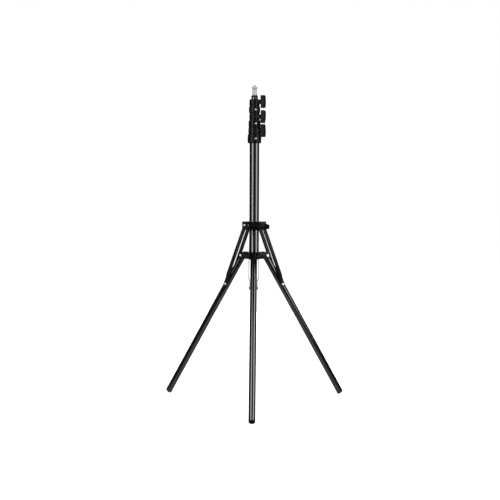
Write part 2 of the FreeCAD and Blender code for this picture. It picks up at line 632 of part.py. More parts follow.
os.makedirs("parts", exist_ok=True)
NODES = build()
for node_name, node_shape in NODES.items():
    node_shape.exportStep("parts/" + node_name + ".step")
print(len(NODES), "nodes; strut %.2f mm, lean %.3f to %.3f deg; slider travel %.2f mm"
      % (STRUT_LENGTH, STRUT_LEAN, STRUT_LEAN_FOLDED, SLIDER_TRAVEL))
print("riser travels", [round(t, 2) for t in riser_travels()])
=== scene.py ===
import json
import math

import bmesh
import bpy
from bpy.props import FloatProperty, FloatVectorProperty, IntProperty, PointerProperty
from mathutils import Matrix, Vector


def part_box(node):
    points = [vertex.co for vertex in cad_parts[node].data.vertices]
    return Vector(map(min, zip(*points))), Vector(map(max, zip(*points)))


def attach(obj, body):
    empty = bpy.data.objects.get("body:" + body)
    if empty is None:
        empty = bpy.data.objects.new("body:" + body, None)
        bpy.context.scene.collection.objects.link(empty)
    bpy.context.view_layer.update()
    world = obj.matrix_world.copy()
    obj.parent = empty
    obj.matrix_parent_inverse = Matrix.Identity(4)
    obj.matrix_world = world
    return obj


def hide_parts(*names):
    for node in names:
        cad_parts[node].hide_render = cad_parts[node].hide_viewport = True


bl_info = {
    "name": "Lighting stand",
    "version": (1, 0, 0),
    "blender": (4, 5, 0),
    "location": "3D View > Sidebar > Stand",
    "description": "Detailed pieces and finishes for a folding lighting stand",
    "category": "Object",
}

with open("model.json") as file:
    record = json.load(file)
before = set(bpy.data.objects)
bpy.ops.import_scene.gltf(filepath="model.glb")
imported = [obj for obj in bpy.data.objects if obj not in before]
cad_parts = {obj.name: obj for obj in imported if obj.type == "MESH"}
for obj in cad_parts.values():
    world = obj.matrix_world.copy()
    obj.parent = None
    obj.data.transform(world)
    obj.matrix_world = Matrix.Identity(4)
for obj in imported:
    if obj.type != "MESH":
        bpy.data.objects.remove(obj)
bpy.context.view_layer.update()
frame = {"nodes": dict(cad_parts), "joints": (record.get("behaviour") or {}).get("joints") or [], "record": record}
RECORD = frame["record"]
JOINTS = {joint["name"]: joint for joint in frame["joints"]}
BODY_OF = {node: body for body, nodes in RECORD["behaviour"]["bodies"].items() for node in nodes}
SLOT_OF = {part["node"]: part["material_slot"] for part in RECORD["subparts"]}
MOUNTS = {mount["name"]: mount for mount in RECORD["mounts"]}
UP = Vector((0, 0, 1))
LEGS = (1, 2, 3)
COLLARS = (1, 2, 3)

# small sizes, in metres
HINGE_SHANK = 0.003         # radius of a leg's hinge rivet
STRUT_SHANK = 0.0025        # radius of a slider rivet
RIVET_HEAD = 0.0017         # height of a head on either of those
COLLAR_HEAD = 0.001         # height of a collar rivet's head
HUB_REACH = 0.012           # a hinge rivet's own metal lies within this of its axis
SLIDER_REACH = 0.01         # and a slider rivet's within this
SNUG = 0.00002              # between a plug and its tube
FOOT_GROOVE = 0.0004        # groove between a foot cap and its tube
SOLE_GROOVE = 0.0005        # depth of the grooves under a foot
SOLE_STEPS = (0.86, 0.58, 0.3)    # where those grooves start, as shares of the sole
PLUG_ROUND = 0.0012         # rounding of the plug in a leg's hinge end
PLUG_DISH = 0.0006          # depth of the dish in that plug
PLUG_LIP = 0.0003           # chamfer where that plug meets its tube
NUT_EDGE = 0.0004
NECK_GROOVE = 0.0005        # depth of the grooves in a knob's neck
NECK_EDGE = 0.0006
KNOB_SINK = 0.003           # how far a knob's neck and cap are sunk into its wings
CAP_EDGE = 0.0004
CAP_DISH = 0.0003
LAND_EDGE = 0.0003          # chamfers of the spigot's lands
TIP_EDGE = 0.0006

# soft boxes: name, azimuth in degrees, width in metres, share of the full brightness
SOFT_BOXES = (("left soft box", -42.0, 1.5, 1.0), ("right soft box", 58.0, 1.5, 1.0),
              ("back soft box", 180.0, 1.0, 0.5))
# high boxes: name, azimuth and rise in degrees
HIGH_BOXES = (("left high box", -62.0, 45.0), ("right high box", 79.0, 37.0))
BOX_DISTANCE = 2.4
BOX_FOOT = 0.02
BOX_TOP = 3.2
HIGH_WIDTH = 0.36
HIGH_LENGTH = 1.3
HIGH_AIM = 0.25             # height that the high boxes face
STRIP_WIDTH = 0.03
STRIP_SHARE = 1.6           # brightness of the floor strips against the bounce panel


# ---------------------------------------------------------------- measuring the frame
def hinge(joint):
    """Where a joint is, and its axis."""
    row = JOINTS[joint]
    return Vector(row["pos_m"]), Vector(row["axis"]).normalized()


def middle(node):
    low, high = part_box(node)
    return (low + high) / 2


def span(node, point, direction, reach=1.0):
    """First end, last end and radius of a turned node about an axis, leaving out what lies
    further than reach from the axis."""
    along = []
    radius = 0.0
    for vertex in frame["nodes"][node].data.vertices:
        arm = vertex.co - point
        height = arm.dot(direction)
        off = (arm - direction * height).length
        if off < reach:
            along.append(height)
            radius = max(radius, off)
    return min(along), max(along), radius


def placed(point, direction, side=None):
    """Matrix that turns local Z to a direction, and local X as near as it can to side."""
    z = direction.normalized()
    x = side if side is not None else Vector((0, 1, 0)).cross(z)
    if x.length < 0.01:
        x = Vector((1, 0, 0))
    x = (x - z * x.dot(z)).normalized()
    matrix = Matrix((x, z.cross(x), z)).transposed().to_4x4()
    matrix.translation = point
    return matrix


def leg_place(number):
    """A leg's own frame: its hinge, down the leg, with X along the hinge pin."""
    point, axis = hinge("leg_%d_fold" % number)
    down = (middle("leg_%d_tube" % number) - point).normalized()
    return placed(point, down, axis)


def strut_place(number):
    """A strut's own frame: its upper rivet, down the strut, with X along the rivet."""
    point, axis = hinge("strut_%d_swing" % number)
    down = (middle("leg_%d_strut_pin" % number) - point).normalized()
    return placed(point, down, axis)


# ---------------------------------------------------------------- modelling
def lathed(outline, steps, closed=False):
    """Spins an outline of (radius, height) about Z. A closed outline makes a tube."""
    bm = bmesh.new()
    verts = [bm.verts.new((radius, 0, height)) for radius, height in outline]
    ends = verts[1:] + verts[:1] if closed else verts[1:]
    edges = [bm.edges.new(pair) for pair in zip(verts, ends)]
    bmesh.ops.spin(bm, geom=verts + edges, cent=(0, 0, 0), axis=(0, 0, 1), dvec=(0, 0, 0),
                   angle=math.tau, steps=steps, use_merge=True)
    bmesh.ops.remove_doubles(bm, verts=bm.verts, dist=1e-6)
    bmesh.ops.recalc_face_normals(bm, faces=bm.faces)
    return bm


def moved(bm, matrix):
    bmesh.ops.transform(bm, matrix=matrix, verts=bm.verts)
    return bm


def joined(shapes):
    """One bmesh that holds several, which are used up."""
    whole = shapes[0]
    for shape in shapes[1:]:
        mesh = bpy.data.meshes.new("joining")
        shape.to_mesh(mesh)
        shape.free()
        whole.from_mesh(mesh)
        bpy.data.meshes.remove(mesh)
    return whole


def merged_copy(node):
    """A CAD node's shape, with its loose triangles merged into whole faces."""
    bm = bmesh.new()
    bm.from_mesh(frame["nodes"][node].data)
    bmesh.ops.remove_doubles(bm, verts=bm.verts, dist=2e-6)
    bmesh.ops.dissolve_limit(bm, angle_limit=math.radians(0.8), use_dissolve_boundaries=False,
                             verts=bm.verts, edges=bm.edges, delimit=set())
    return bm


def soften(made, width, segments, angle=35.0):
    bevel = made.modifiers.new("Edges", "BEVEL")
    bevel.width = width
    bevel.segments = segments
    bevel.limit_method = "ANGLE"
    bevel.angle_limit = math.radians(angle)
    bevel.profile = 0.5
    bevel.harden_normals = True


def piece(name, bm, finish, nodes, width=0.0, segments=2, angle=35.0):
    """Turns a bmesh into a piece that stands for CAD nodes and rides on their body."""
    for face in bm.faces:
        face.smooth = True
    mesh = bpy.data.meshes.new(name)
    bm.to_mesh(mesh)
    bm.free()
    mesh.materials.append(finish)
    made = bpy.data.objects.new(name, mesh)
    bpy.context.scene.collection.objects.link(made)
    if width:
        soften(made, width, segments, angle)
    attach(made, BODY_OF[nodes[0]])
    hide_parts(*nodes)
    return made


def arc(centre_r, centre_z, radius, start, end, count):
    """Points of an outline on an arc, from one angle to another, in degrees."""
    points = []
    for i in range(count + 1):
        turn = math.radians(start + (end - start) * i / count)
        points.append((centre_r + radius * math.cos(turn), centre_z + radius * math.sin(turn)))
    return points


# a rivet's head from its dimpled middle to its rim, as shares of its radius and height
CROWN = ((0.0, 0.82), (0.16, 0.84), (0.26, 1.0), (0.5, 0.95), (0.74, 0.78), (0.92, 0.48),
         (1.0, 0.2), (1.0, 0.0))


def head_outline(shank, head, last, height):
    """The end of a rivet, from its shank to the middle of its domed head."""
    return [(shank, last - height)] + [(head * r, last - height * (1 - z))
                                       for r, z in reversed(CROWN)]


def rivet_outline(shank, head, first, last, height):
    """A rivet from one head's middle to the other's."""
    low = [(head * r, first + height * (1 - z)) for r, z in CROWN]
    return low + [(shank, first + height)] + head_outline(shank, head, last, height)


# ---------------------------------------------------------------- finishes
class Finish:
    """Builds one material on Object coordinates."""

    def __init__(self, name, colour, roughness, metallic=0.0, specular=0.5):
        self.material = bpy.data.materials.new(name)
        self.material.use_nodes = True
        self.nodes = self.material.node_tree.nodes
        self.links = self.material.node_tree.links
        self.shader = self.nodes["Principled BSDF"]
        self.colour = tuple(colour) + (1.0,)
        self.shader.inputs["Base Color"].default_value = self.colour
        self.shader.inputs["Roughness"].default_value = roughness
        self.shader.inputs["Metallic"].default_value = metallic
        self.shader.inputs["Specular IOR Level"].default_value = specular
        self.roughness = roughness

    def place(self, turn=None, stretch=(1.0, 1.0, 1.0)):
        """Object coordinates, turned to a piece's own frame and then stretched."""
        source = self.nodes.new("ShaderNodeTexCoord").outputs["Object"]
        if turn is not None:
            turning = self.nodes.new("ShaderNodeMapping")
            turning.inputs["Rotation"].default_value = turn.to_3x3().inverted().to_euler()
            self.links.new(source, turning.inputs["Vector"])
            source = turning.outputs["Vector"]
        scaling = self.nodes.new("ShaderNodeMapping")
        scaling.inputs["Scale"].default_value = stretch
        self.links.new(source, scaling.inputs["Vector"])
        return scaling.outputs["Vector"]

    def noise(self, vector, scale, detail=2.0):
        node = self.nodes.new("ShaderNodeTexNoise")
        node.inputs["Scale"].default_value = scale
        node.inputs["Detail"].default_value = detail
        self.links.new(vector, node.inputs["Vector"])
        return node.outputs["Fac"]

    def cells(self, vector, scale):
        node = self.nodes.new("ShaderNodeTexVoronoi")
        node.inputs["Scale"].default_value = scale
        self.links.new(vector, node.inputs["Vector"])
        return node.outputs["Distance"]

    def ranged(self, value, low, high, from_low=0.3, from_high=0.7):
        node = self.nodes.new("ShaderNodeMapRange")
        node.inputs["From Min"].default_value = from_low
        node.inputs["From Max"].default_value = from_high
        node.inputs["To Min"].default_value = low
        node.inputs["To Max"].default_value = high
        self.links.new(value, node.inputs["Value"])
        return node.outputs["Result"]

    def vary_roughness(self, value, spread):
        result = self.ranged(value, self.roughness - spread, self.roughness + spread)
        self.links.new(result, self.shader.inputs["Roughness"])

    def vary_colour(self, value, other, from_low, from_high):
        """Mixes another colour in where the value is high."""
        node = self.nodes.new("ShaderNodeMix")
        node.data_type = "RGBA"
        share = self.ranged(value, 0.0, 1.0, from_low, from_high)
        self.links.new(share, node.inputs["Factor"])
        node.inputs["A"].default_value = self.colour
        node.inputs["B"].default_value = tuple(other) + (1.0,)
        self.links.new(node.outputs["Result"], self.shader.inputs["Base Color"])

    def relief(self, values, strength, depth):
        """Bump from one or more heights."""
        normal = None
        for value in values:
            node = self.nodes.new("ShaderNodeBump")
            node.inputs["Strength"].default_value = strength
            node.inputs["Distance"].default_value = depth
            self.links.new(value, node.inputs["Height"])
            if normal is not None:
                self.links.new(normal, node.inputs["Normal"])
            normal = node.outputs["Normal"]
        self.links.new(normal, self.shader.inputs["Normal"])


def lighter(colour, factor):
    return tuple(min(1.0, part * factor) for part in colour)


def tube_finish(name, colour, roughness, turn=None):
    """Black anodised aluminium: drawing lines along the tube and a few faint rubbed marks."""
    finish = Finish(name, colour, roughness, specular=1.0)
    lines = finish.noise(finish.place(turn, (1.0, 1.0, 0.008)), 1100.0, 3.0)
    blotches = finish.noise(finish.place(turn, (1.0, 1.0, 0.25)), 38.0, 4.0)
    finish.vary_roughness(lines, 0.012)
    finish.vary_colour(blotches, lighter(colour, 1.6), 0.5, 0.8)
    return finish.material


def moulded_finish(name, colour, roughness, grain=2200.0, depth=0.00002):
    """Moulded plastic with a fine eroded grain and slightly uneven gloss."""
    finish = Finish(name, colour, roughness, specular=0.1)
    where = finish.place()
    fine = finish.noise(where, grain, 2.0)
    pits = finish.cells(where, grain * 0.45)
    uneven = finish.noise(where, 70.0, 3.0)
    finish.vary_roughness(uneven, 0.05)
    finish.vary_colour(uneven, lighter(colour, 1.6), 0.4, 0.75)
    finish.relief([fine, pits], 0.22, depth)
    return finish.material


def coated_finish(name, colour, roughness, turn):
    """Powder coat: a soft orange peel, with scuffs along the strap."""
    finish = Finish(name, colour, roughness, specular=0.12)
    peel = finish.noise(finish.place(turn), 900.0, 1.0)
    scuffs = finish.noise(finish.place(turn, (1.0, 1.0, 0.06)), 420.0, 5.0)
    finish.vary_roughness(scuffs, 0.06)
    finish.vary_colour(scuffs, lighter(colour, 2.2), 0.56, 0.8)
    finish.relief([peel], 0.2, 0.00002)
    return finish.material


def plated_finish(name, colour, roughness):
    """Zinc-plated steel with faint clouds in its passivated film."""
    finish = Finish(name, colour, roughness, metallic=1.0)
    where = finish.place()
    clouds = finish.noise(where, 260.0, 3.0)
    fine = finish.noise(where, 3200.0, 2.0)
    finish.vary_roughness(clouds, 0.06)
    finish.vary_colour(clouds, (colour[0] * 1.05, colour[1], colour[2] * 0.9), 0.45, 0.75)
    finish.relief([fine], 0.12, 0.00002)
    return finish.material


def turned_finish(name, colour, roughness, metallic=1.0):
    """Metal turned on a lathe about Z: fine rings under a satin plating."""
    finish = Finish(name, colour, roughness, metallic)
    rings = finish.noise(finish.place(None, (0.004, 0.004, 1.0)), 5200.0, 2.0)
    clouds = finish.noise(finish.place(), 180.0, 3.0)
    finish.vary_roughness(clouds, 0.05)
    finish.vary_colour(rings, lighter(colour, 0.86), 0.5, 0.72)
    finish.relief([rings], 0.2, 0.00003)
    return finish.material


def nylon_finish(name, colour, roughness):
    """Natural nylon, faintly milky."""
    finish = Finish(name, colour, roughness, specular=0.45)
    where = finish.place()
    uneven = finish.noise(where, 120.0, 2.0)
    finish.shader.inputs["Subsurface Weight"].default_value = 0.15
    finish.shader.inputs["Subsurface Scale"].default_value = 0.002
    finish.vary_roughness(uneven, 0.06)
    finish.vary_colour(uneven, lighter(colour, 0.9), 0.45, 0.75)
    finish.relief([finish.noise(where, 1500.0, 2.0)], 0.1, 0.00004)
    return finish.material


FINISHES = {}


def finish_for(slot, number=0):
    """The material of a slot. Leg and strap finishes are made for each leg's own direction."""
    colours = bpy.context.scene.stand_colours
    key = (slot, number)
    if key in FINISHES:
        return FINISHES[key]
    if slot == "column_black":
        made = tube_finish("column black anodised", colours.column, colours.column_gloss)
    elif slot == "leg_black":
        made = tube_finish("leg %d black anodised" % number, colours.leg, colours.leg_gloss,
                           leg_place(number))
    elif slot == "strap_black":
        made = coated_finish("strap %d black coat" % number, colours.strap,
                             colours.strap_gloss, strut_place(number))
    elif slot == "hub_plastic":
        made = moulded_finish("hub nylon", colours.hub, 0.36)
    elif slot == "collar_plastic":
        made = moulded_finish("collar nylon", colours.collar, 0.3)
    elif slot == "knob_plastic":
        made = moulded_finish("knob plastic", colours.knob, 0.4, 1500.0, 0.00003)
    elif slot == "end_plastic":
        made = moulded_finish("end cap plastic", colours.end_cap, 0.45)
    elif slot == "nylon":
        made = nylon_finish("natural nylon", colours.nylon, 0.4)
    elif slot == "zinc_steel":
        made = plated_finish("zinc-plated steel", colours.zinc, 0.3)
    elif slot == "brass":
        made = turned_finish("turned brass", colours.brass, 0.28)
    elif slot == "spigot_steel":
        made = turned_finish("satin chrome", colours.spigot, 0.45, 0.5)
    else:
        raise ValueError("no finish for slot " + slot)
    FINISHES[key] = made
    return made


# ---------------------------------------------------------------- properties
class StandColours(bpy.types.PropertyGroup):
    column: FloatVectorProperty(name="Column", description="Colour of the column's tubes",
                                subtype="COLOR", min=0, max=1, default=(0.0035, 0.0035, 0.0038))
    column_gloss: FloatProperty(name="Column roughness", description="Roughness of the column",
                                min=0, max=1, default=0.11)
    leg: FloatVectorProperty(name="Legs", description="Colour of the leg tubes",
                             subtype="COLOR", min=0, max=1, default=(0.003, 0.003, 0.003))
    leg_gloss: FloatProperty(name="Leg roughness", description="Roughness of the leg tubes",
                             min=0, max=1, default=0.09)
    strap: FloatVectorProperty(name="Straps", description="Colour of the straps",
                               subtype="COLOR", min=0, max=1, default=(0.003, 0.003, 0.0033))
    strap_gloss: FloatProperty(name="Strap roughness", description="Roughness of the straps",
                               min=0, max=1, default=0.34)
    hub: FloatVectorProperty(name="Hub and slider", description="Colour of hub and slider",
                             subtype="COLOR", min=0, max=1, default=(0.0025, 0.0025, 0.003))
    collar: FloatVectorProperty(name="Collars", description="Colour of the clamp collars",
                                subtype="COLOR", min=0, max=1, default=(0.0025, 0.0025, 0.0028))
    knob: FloatVectorProperty(name="Knobs", description="Colour of the clamp knobs",
                              subtype="COLOR", min=0, max=1, default=(0.0028, 0.0028, 0.003))
    end_cap: FloatVectorProperty(name="End caps", description="Colour of feet and plugs",
                                 subtype="COLOR", min=0, max=1, default=(0.0025, 0.0025, 0.0025))
    nylon: FloatVectorProperty(name="Nylon", description="Colour of pads and bushes",
                               subtype="COLOR", min=0, max=1, default=(0.72, 0.7, 0.64))
    zinc: FloatVectorProperty(name="Zinc", description="Colour of rivets and screws",
                              subtype="COLOR", min=0, max=1, default=(0.6, 0.6, 0.61))
    brass: FloatVectorProperty(name="Brass", description="Colour of the inserts",
                               subtype="COLOR", min=0, max=1, default=(0.78, 0.6, 0.3))
    spigot: FloatVectorProperty(name="Spigot", description="Colour of the spigot",
                                subtype="COLOR", min=0, max=1, default=(0.3, 0.29, 0.28))


class StandSizes(bpy.types.PropertyGroup):
    steps: IntProperty(name="Steps", description="Steps round a large tube", min=24, max=256,
                       default=128)
    small_steps: IntProperty(name="Small steps", description="Steps round a small turned part",
                             min=12, max=128, default=48)
    tube_edge: FloatProperty(name="Tube edge", description="Rounding of a tube's ends",
                             unit="LENGTH", default=0.0003)
    moulded_edge: FloatProperty(name="Moulded edge", description="Rounding of moulded edges",
                                unit="LENGTH", default=0.0007)
    strap_edge: FloatProperty(name="Strap edge", description="Rounding of a strap's edges",
                              unit="LENGTH", default=0.0003)
    column_wall: FloatProperty(name="Column wall", description="Wall of the column's tubes",
                               unit="LENGTH", default=0.001)
    leg_wall: FloatProperty(name="Leg wall", description="Wall of the leg tubes",
                            unit="LENGTH", default=0.0012)
    foot_rim: FloatProperty(name="Foot rim", description="Rounding of a foot cap's rim",
                            unit="LENGTH", default=0.0026)
    collar_shank: FloatProperty(name="Collar rivet", description="Radius of a collar's rivet",
                                unit="LENGTH", default=0.0015)
    knob_hollow: FloatProperty(name="Knob hollow", description="Depth of the finger hollows",
                               unit="LENGTH", default=0.0005)
    knob_sag: FloatProperty(name="Knob sag", description="Fall of the knob's face to its tips",
                            unit="LENGTH", default=0.0016)
    knob_lift: FloatProperty(name="Knob lift", description="Rise of the wings' inner face",
                             unit="LENGTH", default=0.0002)
    knob_round: FloatProperty(name="Knob rounding", description="Rounding of the knob's edges",
                              unit="LENGTH", default=0.0018)
    cap_radius: FloatProperty(name="Screw cap", description="Radius of the cap on a knob",
                              unit="LENGTH", default=0.0036)
    thread_pitch: FloatProperty(name="Thread pitch", description="Pitch of the stud's thread",
                                unit="LENGTH", default=0.00127)
    thread_depth: FloatProperty(name="Thread depth", description="Depth of the stud's thread",
                                unit="LENGTH", default=0.00055)
    groove_depth: FloatProperty(name="Spigot groove", description="Depth of the spigot's groove",
                                unit="LENGTH", default=0.0016875)
    land: FloatProperty(name="Spigot land", description="Height of the spigot's lower land",
                        unit="LENGTH", default=0.005)
    head: FloatProperty(name="Spigot head", description="Height of the spigot's head",
                        unit="LENGTH", default=0.0055)


class StandStage(bpy.types.PropertyGroup):
    camera_place: FloatVectorProperty(name="Camera", description="Where the camera stands",
                                      subtype="TRANSLATION", default=(0.0441, -3.1954, 0.6233))
    camera_turn: FloatProperty(name="Turn", description="Camera's turn to the left of +Y",
                               subtype="ANGLE", default=math.radians(1.002))
    camera_tilt: FloatProperty(name="Tilt", description="Camera's tilt upwards",
                               subtype="ANGLE", default=math.radians(-3.162))
    camera_roll: FloatProperty(name="Roll", description="Camera's roll",
                               subtype="ANGLE", default=math.radians(-0.195))
    lens: FloatProperty(name="Lens", description="Focal length in millimetres", default=79.21)
    floor_size: FloatProperty(name="Floor", description="Side of the floor", unit="LENGTH",
                              default=12.0)
    box_radiance: FloatProperty(name="Soft boxes", description="Brightness of the soft boxes",
                                min=0, default=4.4)
    side_radiance: FloatProperty(name="Side lights", description="Brightness of side lights",
                                 min=0, default=1.2)
    bounce: FloatProperty(name="Bounce", description="Brightness of the paper in reflections",
                          min=0, default=0.4)
    ambient: FloatProperty(name="Ambient", description="Brightness of the surroundings",
                           min=0, default=1.15)
    dark: FloatProperty(name="Reflected surroundings",
                        description="Brightness of the surroundings in reflections",
                        min=0, default=0.008)


# ---------------------------------------------------------------- operators
class STAND_OT_stage(bpy.types.Operator):
    """Add the floor, the soft boxes, the surroundings and the camera"""
    bl_idname = "stand.stage"
    bl_label = "Stage"

    def panel(self, name, place, across, along, width, length, radiance):
        """A flat light of a given brightness, centred on place, that shines against the cross
        product of its two directions."""
        light = bpy.data.lights.new(name, "AREA")
        light.shape = "RECTANGLE"
        light.size = width
        light.size_y = length
        light.energy = radiance * math.pi * width * length
        lamp = bpy.data.objects.new(name, light)
        matrix = Matrix((across, along, across.cross(along))).transposed().to_4x4()
        matrix.translation = place
        lamp.matrix_world = matrix
        lamp.visible_camera = False
        bpy.context.scene.collection.objects.link(lamp)

    def soft_box(self, name, azimuth, distance, width, low, high, radiance):
        """An upright panel; its azimuth is measured from the camera's side, to the right."""
        turn = math.radians(azimuth)
        away = Vector((math.sin(turn), -math.cos(turn), 0))
        self.panel(name, away * distance + UP * (low + high) / 2, UP.cross(away), UP,
                   width, high - low, radiance)

    def high_box(self, name, azimuth, rise, distance, width, length, radiance):
        """A panel above the stand, tilted to face it."""
        turn, lift = math.radians(azimuth), math.radians(rise)
        away = Vector((math.sin(turn) * math.cos(lift), -math.cos(turn) * math.cos(lift),
                       math.sin(lift)))
        across = UP.cross(away).normalized()
        self.panel(name, away * distance + UP * HIGH_AIM, across, away.cross(across),
                   width, length, radiance)

    def floor_strip(self, name, start, end, width, radiance):
        """A narrow strip on the floor that shines up at the underside of a leg."""
        along = (end - start).normalized()
        across = along.cross(UP * -1.0)
        self.panel(name, (start + end) / 2, across, along, width, (end - start).length,
                   radiance)

    def execute(self, context):
        stage = context.scene.stand_stage
        bm = bmesh.new()
        bmesh.ops.create_grid(bm, x_segments=1, y_segments=1, size=stage.floor_size / 2)
        mesh = bpy.data.meshes.new("floor")
        bm.to_mesh(mesh)
        bm.free()
        floor = bpy.data.objects.new("floor", mesh)
        context.scene.collection.objects.link(floor)
        paper = Finish("white paper", (0.97, 0.97, 0.97), 0.9, specular=0.1)
        mesh.materials.append(paper.material)
        floor.visible_glossy = False

        world = bpy.data.worlds.new("studio")
        context.scene.world = world
        world.use_nodes = True
        nodes, links = world.node_tree.nodes, world.node_tree.links
        bright = nodes["Background"]
        bright.inputs["Color"].default_value = (1, 1, 1, 1)
        bright.inputs["Strength"].default_value = stage.ambient
        dim = nodes.new("ShaderNodeBackground")
        dim.inputs["Color"].default_value = (1, 1, 1, 1)
        dim.inputs["Strength"].default_value = stage.dark
        white = nodes.new("ShaderNodeBackground")
        white.inputs["Color"].default_value = (1, 1, 1, 1)
        white.inputs["Strength"].default_value = 1.0
        rays = nodes.new("ShaderNodeLightPath")
        shown = bright.outputs[0]
        for ray, other in (("Is Glossy Ray", dim), ("Is Camera Ray", white)):
            mix = nodes.new("ShaderNodeMixShader")
            links.new(rays.outputs[ray], mix.inputs[0])
            links.new(shown, mix.inputs[1])
            links.new(other.outputs[0], mix.inputs[2])
            shown = mix.outputs[0]
        links.new(shown, nodes["World Output"].inputs["Surface"])

        bright_box, dim_box = stage.box_radiance, stage.side_radiance
        for name, azimuth, width, share in SOFT_BOXES:
            self.soft_box(name, azimuth, BOX_DISTANCE, width, BOX_FOOT, BOX_TOP,
                          bright_box * share)
        for name, azimuth, rise in HIGH_BOXES:
            self.high_box(name, azimuth, rise, BOX_DISTANCE, HIGH_WIDTH, HIGH_LENGTH, dim_box)
        bounce = stage.bounce
        self.floor_strip("bounce", Vector((0, -0.3, 0.003)), Vector((0, 0.34, 0.003)), 0.6,
                         bounce)
        for side, word in ((-1, "left"), (1, "right")):
            self.floor_strip(word + " floor strip", Vector((side * -0.08, -0.25, 0.004)),
                             Vector((side * 0.2, 0.04, 0.004)), STRIP_WIDTH,
                             bounce * STRIP_SHARE)

        camera = bpy.data.cameras.new("camera")
        camera.lens = stage.lens
        camera.sensor_width = 36.0
        viewer = bpy.data.objects.new("camera", camera)
        turn, tilt, roll = stage.camera_turn, stage.camera_tilt, stage.camera_roll
        ahead = Vector((-math.sin(turn) * math.cos(tilt), math.cos(turn) * math.cos(tilt),
                        math.sin(tilt)))
        level = Vector((math.cos(turn), math.sin(turn), 0))
        above = level.cross(ahead)
        right = level * math.cos(roll) - above * math.sin(roll)
        top = level * math.sin(roll) + above * math.cos(roll)
        matrix = Matrix((right, top, -ahead)).transposed().to_4x4()
        matrix.translation = stage.camera_place
        viewer.matrix_world = matrix
        context.scene.collection.objects.link(viewer)
        context.scene.camera = viewer
        context.scene.view_settings.view_transform = "Standard"
        return {"FINISHED"}


class STAND_OT_column(bpy.types.Operator):
    """Make the column and its three risers as smooth drawn tubes"""
    bl_idname = "stand.column"
    bl_label = "Column tubes"

    def execute(self, context):
        sizes = context.scene.stand_sizes
        for node in ("column_tube", "riser_1_tube", "riser_2_tube", "riser_3_tube"):
            first, last, radius = span(node, Vector(), UP)
            inner = radius - sizes.column_wall
            outline = [(radius, first), (radius, last), (inner, last), (inner, first)]
            piece("shown_" + node, lathed(outline, sizes.steps, closed=True),
                  finish_for("column_black"), [node], sizes.tube_edge)
        return {"FINISHED"}


class STAND_OT_legs(bpy.types.Operator):
    """Make the leg tubes with their hinge plugs and foot caps"""
    bl_idname = "stand.legs"
    bl_label = "Legs"

    def foot_outline(self, node, place, sizes, tube_end):
        """Foot cap: its plug in the tube, a fine groove, the cap, and a ribbed sole."""
        first, last, radius = span(node, place.translation, place.col[2].xyz)
        plug = radius - sizes.leg_wall - SNUG
        rim = sizes.foot_rim
        outline = [(0, first), (plug, first), (plug, tube_end - FOOT_GROOVE / 2),
                   (radius - FOOT_GROOVE, tube_end), (radius, tube_end + FOOT_GROOVE)]
        outline += arc(radius - rim, last - rim, rim, 0, 90, 8)
        sole = radius - rim
        sunk = last - SOLE_GROOVE
        for step in SOLE_STEPS:
            outline += [(sole * step, last), (sole * (step - 0.05), sunk),
                        (sole * (step - 0.15), sunk), (sole * (step - 0.2), last)]
        outline.append((0, last))
        return outline

    def execute(self, context):
        sizes = context.scene.stand_sizes
        for number in LEGS:
            place = leg_place(number)
            point, down = place.translation, place.col[2].xyz
            name = "leg_%d_" % number
            start, end, radius = span(name + "tube", point, down)
            inner = radius - sizes.leg_wall
            outline = [(radius, start), (radius, end), (inner, end), (inner, start)]
            piece("shown_" + name + "tube", moved(lathed(outline, sizes.steps, True), place),
                  finish_for("leg_black", number), [name + "tube"], sizes.tube_edge)
            outline = self.foot_outline(name + "foot", place, sizes, end)
            piece("shown_" + name + "foot", moved(lathed(outline, sizes.steps), place),
                  finish_for("end_plastic"), [name + "foot"])
            first, last, _ = span(name + "plug", point, down)
            dish = first + PLUG_DISH
            round_top = arc(radius - PLUG_ROUND, first + PLUG_ROUND, PLUG_ROUND, 270, 360, 6)
            outline = [(0, dish), (radius * 0.45, dish),
                       (radius * 0.55, first)] + round_top
            outline += [(radius, start - PLUG_LIP), (radius - PLUG_LIP, start),
                        (inner - SNUG, start), (inner - SNUG, last), (0, last)]
            piece("shown_" + name + "plug", moved(lathed(outline, sizes.steps), place),
                  finish_for("end_plastic"), [name + "plug"])
        return {"FINISHED"}


class STAND_OT_struts(bpy.types.Operator):
    """Make the struts' straps with rounded edges"""
    bl_idname = "stand.struts"
    bl_label = "Struts"

    def execute(self, context):
        sizes = context.scene.stand_sizes
        for number in LEGS:
            node = "strut_%d_straps" % number
            piece("shown_" + node, merged_copy(node), finish_for("strap_black", number),
                  [node], sizes.strap_edge, 2)
        return {"FINISHED"}


class STAND_OT_hub(bpy.types.Operator):
    """Make the base hub with rounded edges, its rivets and its nut"""
    bl_idname = "stand.hub"
    bl_label = "Base hub"

    def execute(self, context):
        sizes = context.scene.stand_sizes
        piece("shown_base_hub", merged_copy("base_hub"), finish_for("hub_plastic"),
              ["base_hub"], sizes.moulded_edge, 3)
        piece("shown_hub_nut", merged_copy("hub_nut"), finish_for("zinc_steel"), ["hub_nut"],
              NUT_EDGE, 2)
        shapes = []
        for number in (1, 3):
            point, axis = hinge("leg_%d_fold" % number)
            first, last, head = span("hub_rivets", point, axis, HUB_REACH)
            outline = rivet_outline(HINGE_SHANK, head, first, last, RIVET_HEAD)
            shapes.append(moved(lathed(outline, sizes.small_steps), placed(point, axis)))
        piece("shown_hub_rivets", joined(shapes), finish_for("zinc_steel"), ["hub_rivets"])
        return {"FINISHED"}


